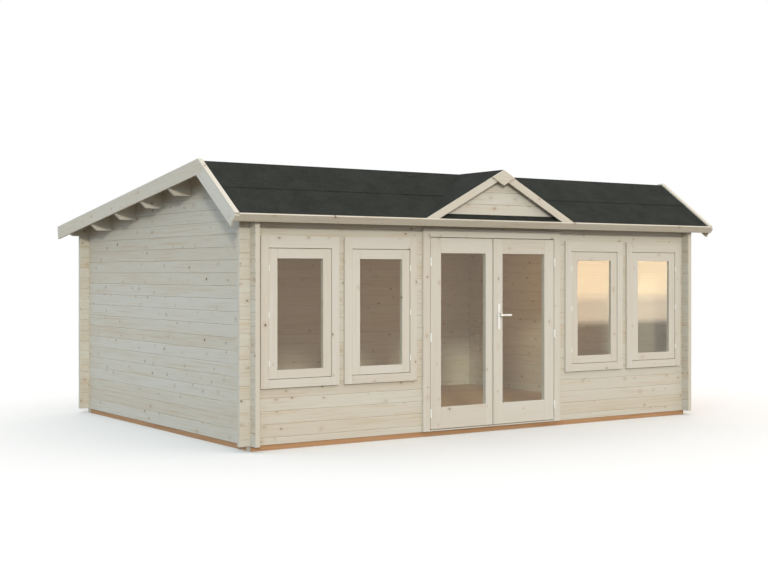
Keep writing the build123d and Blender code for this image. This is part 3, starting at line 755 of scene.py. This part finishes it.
# %% Geometry Nodes: a row of boards
def row_of_boards():
    """A tree that lays boards side by side along X, each running along Y from the origin."""
    tree, start, end = new_group(
        "row of boards",
        "GeometryNodeTree",
        [
            ("Row length", "Float", 1.0),
            ("Boards", "Int", 10),
            ("Board length", "Float", 1.0),
            ("Thickness", "Float", 0.018),
            ("Cut corner", "Float", 0.003),
            ("Gap", "Float", 0.0006),
            ("Turn", "Rotation", None),
            ("Place", "Vector", None),
            ("Material", "Material", None),
        ],
        [("Geometry", "Geometry")],
    )
    given = start.outputs
    pitch = maths(tree, "DIVIDE", given["Row length"], given["Boards"])
    width = maths(tree, "SUBTRACT", pitch, given["Gap"])
    sizes = {"Width": width, "Height": given["Thickness"]}
    section = put(tree, "GeometryNodeCurvePrimitiveQuadrilateral", sizes).outputs[0]
    corners = {"Curve": section, "Radius": given["Cut corner"], "Count": 1}
    cut = put(tree, "GeometryNodeFilletCurve", corners, mode="POLY").outputs[0]
    far = put(tree, "ShaderNodeCombineXYZ", {1: given["Board length"]}).outputs[0]
    line = put(tree, "GeometryNodeCurvePrimitiveLine", {"End": far}).outputs[0]
    sweep = {"Curve": line, "Profile Curve": cut, "Fill Caps": True}
    swept = put(tree, "GeometryNodeCurveToMesh", sweep).outputs[0]
    step = put(tree, "ShaderNodeCombineXYZ", {0: pitch}).outputs[0]
    first = put(tree, "ShaderNodeCombineXYZ", {0: times(tree, pitch, 0.5)}).outputs[0]
    row = {"Count": given["Boards"], "Start Location": first, "Offset": step}
    points = put(tree, "GeometryNodeMeshLine", row, mode="OFFSET").outputs[0]
    copies = put(tree, "GeometryNodeInstanceOnPoints", {"Points": points, "Instance": swept}).outputs[0]
    move = {"Geometry": copies, "Translation": given["Place"], "Rotation": given["Turn"]}
    turned = put(tree, "GeometryNodeTransform", move).outputs[0]
    real = put(tree, "GeometryNodeRealizeInstances", {0: turned}).outputs[0]
    flat = put(tree, "GeometryNodeSetShadeSmooth", {0: real, "Shade Smooth": False}).outputs[0]
    paint = {"Geometry": flat, "Material": given["Material"]}
    tree.links.new(put(tree, "GeometryNodeSetMaterial", paint).outputs[0], end.inputs[0])
    return tree


def grow(name, tree, values, base=None):
    """Runs a Geometry Nodes tree on an object and returns the plain mesh that it makes."""
    base = base or bpy.data.meshes.new("empty")
    carrier = stand(name, base)
    modifier = carrier.modifiers.new(name, "NODES")
    modifier.node_group = tree
    for item in tree.interface.items_tree:
        if item.item_type == "SOCKET" and item.in_out == "INPUT" and item.name in values:
            modifier[item.identifier] = values[item.name]
    bpy.context.view_layer.update()
    result = carrier.evaluated_get(bpy.context.evaluated_depsgraph_get())
    mesh = bpy.data.meshes.new_from_object(result)
    bpy.data.objects.remove(carrier)
    bpy.data.meshes.remove(base)
    mesh.name = name
    return mesh


# %% Roof boards
board_row = row_of_boards()
BOARD_PITCH = 0.090
BOARD_THICKNESS = 0.018


def tidied(mesh):
    work = bmesh.new()
    work.from_mesh(mesh)
    bmesh.ops.remove_doubles(work, verts=work.verts, dist=WELD)
    bmesh.ops.recalc_face_normals(work, faces=work.faces)
    work.to_mesh(mesh)
    work.free()
    return mesh


def lay_boards(node, turn, place, row, board_length, looks, slot="spruce"):
    """Boards side by side in place of a node; row gives the grain's turn and the row's two ends."""
    grain_turn, row_start, row_end = row
    row_length = row_end - row_start
    count = round(row_length / BOARD_PITCH)
    name = "fine_" + node
    material = coursed_timber(node, grain_turn, row_length / count, row_start, len(node), looks)
    sizes = {"Row length": row_length, "Boards": count, "Board length": board_length}
    seat = {"Thickness": BOARD_THICKNESS, "Turn": turn, "Place": place, "Material": material}
    mesh = grow(name, board_row, {**sizes, **seat})
    print(name, "has", count, "boards of", round(row_length / count * 1000, 1), "mm")
    return settle(tidied(mesh), material, "root", node, slot=slot)


front_low, front_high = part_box("roof_boards_front")
rear_low, rear_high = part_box("roof_boards_rear")
ridge = Vector((0, front_high.y, 0))
eave_y = front_low.y + BOARD_THICKNESS * sin(FRONT_PITCH)
rear_eave_y = rear_high.y - BOARD_THICKNESS * sin(REAR_PITCH)
ridge.z = front_low.z + (ridge.y - eave_y) * tan(FRONT_PITCH)
front_slope = (ridge.y - eave_y) / cos(FRONT_PITCH)
rear_slope = (rear_eave_y - ridge.y) / cos(REAR_PITCH)

front_normal = Vector((0, -sin(FRONT_PITCH), cos(FRONT_PITCH)))
rear_normal = Vector((0, sin(REAR_PITCH), cos(REAR_PITCH)))
roof_row = (ROW_ALONG_X, front_low.x, front_high.x)
lay_boards(
    "roof_boards_front",
    (FRONT_PITCH, 0.0, 0.0),
    Vector((front_low.x, eave_y, front_low.z)) + front_normal * BOARD_THICKNESS / 2,
    roof_row,
    front_slope,
    ROOF_LOOKS,
)
lay_boards(
    "roof_boards_rear",
    (-REAR_PITCH, 0.0, 0.0),
    Vector((front_low.x, ridge.y, ridge.z)) + rear_normal * BOARD_THICKNESS / 2,
    roof_row,
    rear_slope,
    ROOF_LOOKS,
)
dormer_timber = coursed_timber("dormer_boards", ROW_ALONG_Y, BOARD_PITCH, 0.0, 14.0, ROOF_LOOKS)
dress("dormer_roof_boards", dormer_timber)
print("ridge at", round(ridge.y, 3), round(ridge.z, 3))
print("slopes", round(front_slope, 3), round(rear_slope, 3))

# %% [markdown]
# ## Floor boards
# The same tree, turned a quarter and moved to the floor, lays boards that run along the front.

# %% Floor boards
floor_low, floor_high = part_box("floor_boards")
lay_boards(
    "floor_boards",
    (0.0, 0.0, radians(90)),
    Vector((floor_high.x, floor_low.y, (floor_low.z + floor_high.z) / 2)),
    (ROW_ALONG_Y, floor_low.y, floor_high.y),
    floor_high.x - floor_low.x,
    FLOOR_LOOKS,
    "floor_wood",
)

# %% [markdown]
# ## Roofing felt
# The felt's mineral chips are far smaller than a pixel of the photograph, so they are a speckle in
# colour and relief.

# %% Felt material
FELT_CHIP = 520.0
FELT_DARK, FELT_MID = srgb(33, 35, 32), srgb(42, 45, 41)
FELT_SPECKLE, FELT_GRIT = srgb(58, 60, 56), srgb(74, 76, 71)
FELT_RELIEF = 0.0015
felt, tree, shader = new_material("mineral_felt")
where = put(tree, "ShaderNodeTexCoord").outputs["Object"]
chips = put(tree, "ShaderNodeTexVoronoi", {"Vector": where, "Scale": FELT_CHIP})
chip_tone = put(tree, "ShaderNodeSeparateColor", {0: chips.outputs["Color"]}).outputs[0]
patch = noise(tree, where, 5.0, 5.0, 0.6)
mottle = noise(tree, where, 70.0, 3.0, 0.7)
dark = blend_colours(tree, fade(tree, patch, 0.3, 0.7), FELT_DARK, FELT_MID)
speckled = blend_colours(tree, fade(tree, mottle, 0.5, 0.8), dark, FELT_SPECKLE)
chipped = blend_colours(tree, fade(tree, chip_tone, 0.75, 1.0), speckled, FELT_GRIT)
tree.links.new(chipped, shader.inputs["Base Color"])
felt_relief = maths(tree, "ADD", chips.outputs["Distance"], mottle)
bumps = {"Height": felt_relief, "Distance": FELT_RELIEF, "Strength": 0.7}
tree.links.new(put(tree, "ShaderNodeBump", bumps).outputs[0], shader.inputs["Normal"])
shader.inputs["Roughness"].default_value = 0.88
shader.inputs["Specular IOR Level"].default_value = 0.08
print("felt chips per metre:", FELT_CHIP)

# %% [markdown]
# ## Felt strips
# The felt is laid in strips along the roof, each strip lapping over the one below it. The laps show
# as thin dark lines, so the strips are real sheets, and each lapped foot stands a small step high.

# %% Felt strips
FELT_THICKNESS = 0.003
FELT_LAP = 0.10
LAP_RISE = 1.3 * FELT_THICKNESS
LAP_EASE = 0.15
REAR_STRIPS = 4
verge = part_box("roof_felt")[1].x
felt_sheets = bmesh.new()


def felt_strip(foot, up, normal, start, stop, lapped):
    """A thin sheet along the roof from start to stop up the slope, with its foot raised if lapped."""
    rise = LAP_RISE if lapped else 0.0
    knee = (start + LAP_EASE * 0.6, rise * 0.8)
    stations = [(start, rise), knee, (start + LAP_EASE, 0.0), (stop, 0.0)]
    loops = []
    for x in (-verge, verge):
        under, over = [], []
        for along, lift in stations:
            spot = foot + up * along + normal * (BOARD_THICKNESS + lift)
            under.append(felt_sheets.verts.new(Vector((x, 0, 0)) + spot))
            over.append(felt_sheets.verts.new(Vector((x, 0, 0)) + spot + normal * FELT_THICKNESS))
        loops.append(under + over[::-1])
    size = len(loops[0])
    for number in range(size):
        following = (number + 1) % size
        corners = (loops[0][number], loops[0][following], loops[1][following], loops[1][number])
        felt_sheets.faces.new(corners)
    felt_sheets.faces.new(loops[0][::-1])
    felt_sheets.faces.new(loops[1])


front_foot = Vector((0, eave_y, front_low.z))
rear_foot = Vector((0, rear_eave_y, rear_low.z))
front_half = front_slope / 2
felt_strip(front_foot, up_front, front_normal, 0.0, front_half + FELT_LAP, False)
felt_strip(front_foot, up_front, front_normal, front_half, front_slope, True)
strip = rear_slope / REAR_STRIPS
for number in range(REAR_STRIPS):
    start = strip * number
    stop = min(start + strip + FELT_LAP, rear_slope)
    felt_strip(rear_foot, up_rear, rear_normal, start, stop, number > 0)
bmesh.ops.recalc_face_normals(felt_sheets, faces=felt_sheets.faces)
felt_mesh = bpy.data.meshes.new("felt_sheets")
felt_sheets.to_mesh(felt_mesh)
felt_sheets.free()
settle(felt_mesh, felt, "root", "roof_felt", slot="felt")
dress("dormer_felt", felt)
print("felt strips:", REAR_STRIPS + 2)

# %% [markdown]
# ## Glass
# The panes are clear float glass. Light that only passes through, on its way to a surface inside or
# as a shadow ray, goes straight on, because following every bent path would take too long and leave
# the room dark.

# %% Glass
GLASS_TINT = (0.93, 0.96, 0.93, 1.0)
THROUGH_TINT = (0.93, 0.95, 0.93, 1.0)
glass, tree, shader = new_material("pane_glass")
shader.inputs["Base Color"].default_value = GLASS_TINT
shader.inputs["Roughness"].default_value = 0.0
shader.inputs["IOR"].default_value = 1.5
shader.inputs["Transmission Weight"].default_value = 1.0
ray = put(tree, "ShaderNodeLightPath")
passing = maths(tree, "MAXIMUM", ray.outputs["Is Shadow Ray"], ray.outputs["Is Diffuse Ray"])
through = put(tree, "ShaderNodeBsdfTransparent", {0: THROUGH_TINT})
surface(tree, mix_shaders(tree, passing, shader.outputs[0], through.outputs[0]))
for node in ("window_panes", "left_door_pane", "right_door_pane"):
    dress(node, glass)
print("glass in the windows and both leaves")

# %% [markdown]
# ## Metal
# The hinges are enamelled white and the handle is satin metal. Both get a soft mottle in their
# roughness, because a perfectly even gloss looks like plastic.

# %% Metals
def metal(name, colour, metallic, rough_low, rough_high):
    made, tree, shader = new_material(name)
    where = put(tree, "ShaderNodeTexCoord").outputs["Object"]
    smear = noise(tree, where, 60.0, 4.0, 0.6)
    inputs = {"Value": smear, "To Min": rough_low, "To Max": rough_high}
    gloss = put(tree, "ShaderNodeMapRange", inputs).outputs["Result"]
    tree.links.new(gloss, shader.inputs["Roughness"])
    wear = fade(tree, noise(tree, where, 240.0, 2.0, 0.5), 0.62, 0.75)
    worn = tuple(value * 0.9 for value in colour[:3]) + (1.0,)
    tree.links.new(blend_colours(tree, wear, colour, worn), shader.inputs["Base Color"])
    shader.inputs["Metallic"].default_value = metallic
    return made


white_enamel = metal("white_enamel", srgb(232, 232, 226), 0.0, 0.28, 0.42)
satin_metal = metal("satin_metal", srgb(228, 227, 222), 1.0, 0.32, 0.42)
nail_metal = metal("nail_metal", srgb(150, 148, 142), 1.0, 0.35, 0.55)


def rounded(mesh):
    """Smooth shading with the sharp edges kept."""
    mesh.shade_smooth()
    mesh.set_sharp_from_angle(angle=SHARP)
    return mesh


def softened(node, body, material, slot, ease):
    """A copy of a CAD node with merged corners and eased edges, for metal parts."""
    work = eased(merged(node), ease)
    mesh = bpy.data.meshes.new("fine_" + node)
    work.to_mesh(mesh)
    work.free()
    return settle(rounded(mesh), material, body, node, slot=slot)


HANDLE_EASE = 0.0015
HINGE_EASE = 0.0005
softened("door_handle", "handle", satin_metal, "handle_metal", HANDLE_EASE)
softened("door_handle_plates", "right_leaf", satin_metal, "handle_metal", HANDLE_EASE)
softened("frame_hinges", "root", white_enamel, "white_metal", HINGE_EASE)
softened("left_door_hinges", "left_leaf", white_enamel, "white_metal", HINGE_EASE)
softened("right_door_hinges", "right_leaf", white_enamel, "white_metal", HINGE_EASE)
print("handle, plates and door hinges made")

# %% [markdown]
# ## Small round metal
# Hinge barrels, nail heads and the lock's ends are all short cylinders, so one Geometry Nodes tree
# stands the same cylinder, cut in two by a seam, on every point it is given.

# %% Geometry Nodes: barrels on points
def barrels_on_points():
    tree, start, end = new_group(
        "barrels on points",
        "GeometryNodeTree",
        [
            ("Geometry", "Geometry", None),
            ("Radius", "Float", 0.005),
            ("Length", "Float", 0.05),
            ("Seam", "Float", 0.0008),
            ("Turn", "Rotation", None),
            ("Material", "Material", None),
        ],
        [("Geometry", "Geometry")],
    )
    given = start.outputs
    half = times(tree, given["Length"], 0.5)
    knuckle = maths(tree, "SUBTRACT", half, given["Seam"])
    sizes = {"Vertices": 20, "Radius": given["Radius"], "Depth": knuckle}
    cylinder = put(tree, "GeometryNodeMeshCylinder", sizes).outputs["Mesh"]
    lift = times(tree, half, 0.5)
    joined = put(tree, "GeometryNodeJoinGeometry")
    for sign in (-1.0, 1.0):
        offset = put(tree, "ShaderNodeCombineXYZ", {2: times(tree, lift, sign)}).outputs[0]
        moved = put(tree, "GeometryNodeTransform", {"Geometry": cylinder, "Translation": offset})
        tree.links.new(moved.outputs[0], joined.inputs[0])
    copy = {"Points": given["Geometry"], "Instance": joined.outputs[0], "Rotation": given["Turn"]}
    copies = put(tree, "GeometryNodeInstanceOnPoints", copy).outputs[0]
    real = put(tree, "GeometryNodeRealizeInstances", {0: copies}).outputs[0]
    paint = {"Geometry": real, "Material": given["Material"]}
    tree.links.new(put(tree, "GeometryNodeSetMaterial", paint).outputs[0], end.inputs[0])
    return tree


barrels = barrels_on_points()


def stand_barrels(name, spots, values, material, slot, body="root"):
    """Stands one barrel on each spot and makes a piece of them."""
    base = bpy.data.meshes.new("spots")
    base.from_pydata([tuple(spot) for spot in spots], [], [])
    mesh = grow(name, barrels, {**values, "Material": material}, base)
    settle(rounded(mesh), material, body, slot=slot)
    print(name, len(spots))


# %% [markdown]
# ## Window hinges
# Three small white barrels show beside each sash, on the side away from the other window of its pair.

# %% Window hinges
HINGE_SIDES = {1: -1, 2: 1, 3: -1, 4: 1}
HINGE_SHARES = (0.12, 0.49, 0.85)
HINGE_RADIUS = 0.005
HINGE_SEAT = 0.4 * HINGE_RADIUS
hinge = {"Radius": HINGE_RADIUS, "Length": 0.050}
spots = []
for number, side in HINGE_SIDES.items():
    (low, high), front, back = flat_box(f"window_sash_{number}")
    x = (low[0] if side < 0 else high[0]) + side * SASH_GAP / 2
    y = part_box(f"window_frame_{number}")[0].y - HINGE_SEAT
    spots += [(x, y, low[1] + share * (high[1] - low[1])) for share in HINGE_SHARES]
stand_barrels("window_hinges", spots, hinge, white_enamel, "white_metal")

# %% [markdown]
# ## Nails and lock
# The same barrels, made flat and half sunk, are the nail heads of the bargeboards and fascias. Two
# more stand on the handle plates as the ends of the lock cylinder.

# %% Nails and lock
NAIL = {"Radius": 0.0035, "Length": 0.0024, "Seam": 0.0}
NAIL_OFFSET = 0.030
NAIL_MARGIN = 0.09
NAIL_STEP = 0.45
BOARD_MIDDLE = -0.0405
FASCIA_NAILS = (0.018, 0.056)
FASCIA_THICKNESS = 0.020


def steps(start, stop):
    """Evenly spaced values from start to stop, about one nail step apart."""
    count = max(1, round((stop - start) / NAIL_STEP))
    return [start + (stop - start) * number / count for number in range(count + 1)]


spots = []
ends_low, ends_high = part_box("bargeboards_front")
for foot, up, normal, slope in (
    (front_foot, up_front, front_normal, front_slope),
    (rear_foot, up_rear, rear_normal, rear_slope),
):
    for along in steps(NAIL_MARGIN, slope - NAIL_MARGIN):
        for x in (ends_low.x, ends_high.x):
            for offset in (-NAIL_OFFSET, NAIL_OFFSET):
                rise = normal * (BOARD_MIDDLE + offset)
                spots.append(Vector((x, 0, 0)) + foot + up * along + rise)
nail = {**NAIL, "Turn": (0.0, radians(90), 0.0)}
stand_barrels("bargeboard_nails", spots, nail, nail_metal, "handle_metal")

for node, pitch, side in (("front_fascia", FRONT_PITCH, -1), ("rear_fascia", REAR_PITCH, 1)):
    low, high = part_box(node)
    face_y = low.y if side < 0 else high.y
    top = high.z - FASCIA_THICKNESS * sin(pitch)
    spots = [
        (x, face_y - side * down * sin(pitch), top - down * cos(pitch))
        for x in steps(low.x + NAIL_MARGIN, high.x - NAIL_MARGIN)
        for down in FASCIA_NAILS
    ]
    nail = {**NAIL, "Turn": (-side * (radians(90) + pitch), 0.0, 0.0)}
    stand_barrels(node + "_nails", spots, nail, nail_metal, "handle_metal")

LOCK_DROP = 0.092
lever_low, lever_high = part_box("door_handle")
plates_low, plates_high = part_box("door_handle_plates")
plate_x = (plates_low.x + plates_high.x) / 2
lock_z = (lever_low.z + lever_high.z) / 2 - LOCK_DROP
stand_barrels(
    "lock_cylinder",
    [(plate_x, plates_low.y, lock_z), (plate_x, plates_high.y, lock_z)],
    {"Radius": 0.0085, "Length": 0.005, "Seam": 0.0, "Turn": (radians(90), 0.0, 0.0)},
    satin_metal,
    "handle_metal",
    "right_leaf",
)

# %% [markdown]
# ## Floor
# The floor is white paper. Round the cabin it is a real surface that keeps its shadow, and further out
# it turns into the plain white background. To the rays of light it is darker than to those that see,
# so that it doesn't throw its white back up under the eaves.

# %% Floor
FLOOR_HALF = 60.0
FLOOR_NEAR, FLOOR_FAR = 3.6, 9.0
FLOOR_PALE = (0.82, 0.82, 0.79, 1.0)
FLOOR_BOUNCE = (0.16, 0.15, 0.13, 1.0)


def staged_sheet(name, corners, material):
    """A four-sided sheet that belongs to the studio and not to the cabin."""
    mesh = bpy.data.meshes.new(name)
    mesh.from_pydata(corners, [], [(0, 1, 2, 3)])
    mesh.materials.append(material)
    stand(name, mesh)


paper, tree, shader = new_material("white_paper")
shader.inputs["Base Color"].default_value = FLOOR_PALE
shader.inputs["Roughness"].default_value = 0.9
shader.inputs["Specular IOR Level"].default_value = 0.1
where = put(tree, "ShaderNodeTexCoord").outputs["Object"]
distance = put(tree, "ShaderNodeVectorMath", {0: where}, operation="LENGTH").outputs["Value"]
far = fade(tree, distance, FLOOR_NEAR, FLOOR_FAR)
seen = in_view(tree)
white = put(tree, "ShaderNodeEmission", {"Strength": 1.0})
bounce = put(tree, "ShaderNodeBsdfDiffuse", {0: FLOOR_BOUNCE})
near = mix_shaders(tree, seen, bounce.outputs[0], shader.outputs[0])
surface(tree, mix_shaders(tree, times(tree, far, seen), near, white.outputs[0]))
low, high = -FLOOR_HALF, FLOOR_HALF
staged_sheet("studio_floor", [(low, low, 0), (high, low, 0), (high, high, 0), (low, high, 0)], paper)
print("floor fades to white from", FLOOR_NEAR, "to", FLOOR_FAR, "m")

# %% [markdown]
# ## What the glass mirrors
# The right windows shine in warm, pale tones, brightest in their upper part and dull at the bottom, so
# a plain card with two steps of light stands where they look. Only glossy rays see it: it shows in
# the glass, and matt wood hardly changes.

# %% Card in front of the windows
CARD_Y = -8.0
CARD_LEFT, CARD_RIGHT = 6.3, 9.6
CARD_BOTTOM, CARD_TOP = 0.5, 3.2
CARD_SIDE_FADE = (CARD_LEFT, CARD_LEFT + 0.4)
CARD_LOW_FADE = (0.62, 0.80)
CARD_HIGH_FADE = (1.0, 1.26)
CARD_LOW_TONE = (1.0, 0.84, 0.67, 1.0)
CARD_HIGH_TONE = (1.0, 0.784, 0.535, 1.0)
LOW_STRENGTH = 5.4
HIGH_EXTRA = 3.5

evening, tree, shader = new_material("evening_card")
tree.nodes.remove(shader)
spot = put(tree, "ShaderNodeSeparateXYZ", {0: put(tree, "ShaderNodeTexCoord").outputs["Object"]})
glow = fade(tree, spot.outputs[2], *CARD_LOW_FADE)
glow = times(tree, glow, fade(tree, spot.outputs[0], *CARD_SIDE_FADE))
high = fade(tree, spot.outputs[2], *CARD_HIGH_FADE)
strength = maths(tree, "ADD", times(tree, high, HIGH_EXTRA), LOW_STRENGTH)
colour = blend_colours(tree, high, CARD_LOW_TONE, CARD_HIGH_TONE)
shining = put(tree, "ShaderNodeEmission", {"Color": colour, "Strength": strength})
clear = put(tree, "ShaderNodeBsdfTransparent")
glossy = put(tree, "ShaderNodeLightPath").outputs["Is Glossy Ray"]
surface(tree, mix_shaders(tree, times(tree, glow, glossy), clear.outputs[0], shining.outputs[0]))
bottom = [(CARD_LEFT, CARD_Y, CARD_BOTTOM), (CARD_RIGHT, CARD_Y, CARD_BOTTOM)]
top = [(CARD_RIGHT, CARD_Y, CARD_TOP), (CARD_LEFT, CARD_Y, CARD_TOP)]
staged_sheet("evening_card", bottom + top, evening)
print("card stands", -CARD_Y, "m in front")

# %% [markdown]
# ## Sky and sun
# The photograph is lit by a low, warm sun from the left of the front, and its left side looks at a
# cool sky. The world gives both sky tones to the rays of light and plain white to the rays that see.

# %% Sky and sun
SKY_COOL = (0.68, 0.83, 0.99, 1.0)
SKY_WARM = (1.0, 0.93, 0.91, 1.0)
SKY_STRENGTH = 1.34
WHITE = (1.0, 1.0, 1.0, 1.0)
world = bpy.data.worlds.new("studio")
bpy.context.scene.world = world
world.use_nodes = True
tree = world.node_tree
looking = put(tree, "ShaderNodeSeparateXYZ", {0: put(tree, "ShaderNodeTexCoord").outputs["Generated"]})
leftward = fade(tree, looking.outputs[0], 0.1, -0.7)
sky = tree.nodes["Background"]
tree.links.new(blend_colours(tree, leftward, SKY_WARM, SKY_COOL), sky.inputs["Color"])
sky.inputs["Strength"].default_value = SKY_STRENGTH
plain = put(tree, "ShaderNodeBackground", {"Color": WHITE, "Strength": 1.0})
surface(tree, mix_shaders(tree, in_view(tree), sky.outputs[0], plain.outputs[0]), "World Output")

SUN_AZIMUTH, SUN_HEIGHT = radians(-29.2), radians(15.4)
SUN_ENERGY = 1.45
SUN_COLOUR = (1.0, 0.98, 0.85)
SUN_SPREAD = radians(5)
sun = stand("key", bpy.data.lights.new("key", "SUN"))
sun.data.energy = SUN_ENERGY
sun.data.color = SUN_COLOUR
sun.data.angle = SUN_SPREAD
flat = cos(SUN_HEIGHT)
towards = Vector((flat * sin(SUN_AZIMUTH), -flat * cos(SUN_AZIMUTH), sin(SUN_HEIGHT)))
sun.rotation_euler = towards.to_track_quat("Z", "Y").to_euler()
print("sun from", [round(v, 3) for v in towards])

# %% [markdown]
# ## Warm light inside
# The room behind the glass glows warm in the photograph. Two soft lamps near the middle of the room
# make that glow. They light the walls, and no ray sees the lamps themselves.

# %% Warm light inside
ROOM_LAMP_PLACES = ((-1.5, 0.2, 1.35), (1.5, 0.2, 1.35))
ROOM_LAMP_ENERGY = 12.0
ROOM_LAMP_COLOUR = (1.0, 0.6, 0.22)
ROOM_LAMP_RADIUS = 0.3
for number, spot in enumerate(ROOM_LAMP_PLACES):
    lamp = stand(f"room_lamp_{number}", bpy.data.lights.new("room_lamp", "POINT"))
    lamp.data.energy = ROOM_LAMP_ENERGY
    lamp.data.color = ROOM_LAMP_COLOUR
    lamp.data.shadow_soft_size = ROOM_LAMP_RADIUS
    lamp.location = spot
    lamp.visible_camera = False
    lamp.visible_glossy = False
    lamp.visible_transmission = False
print(len(ROOM_LAMP_PLACES), "room lamps")
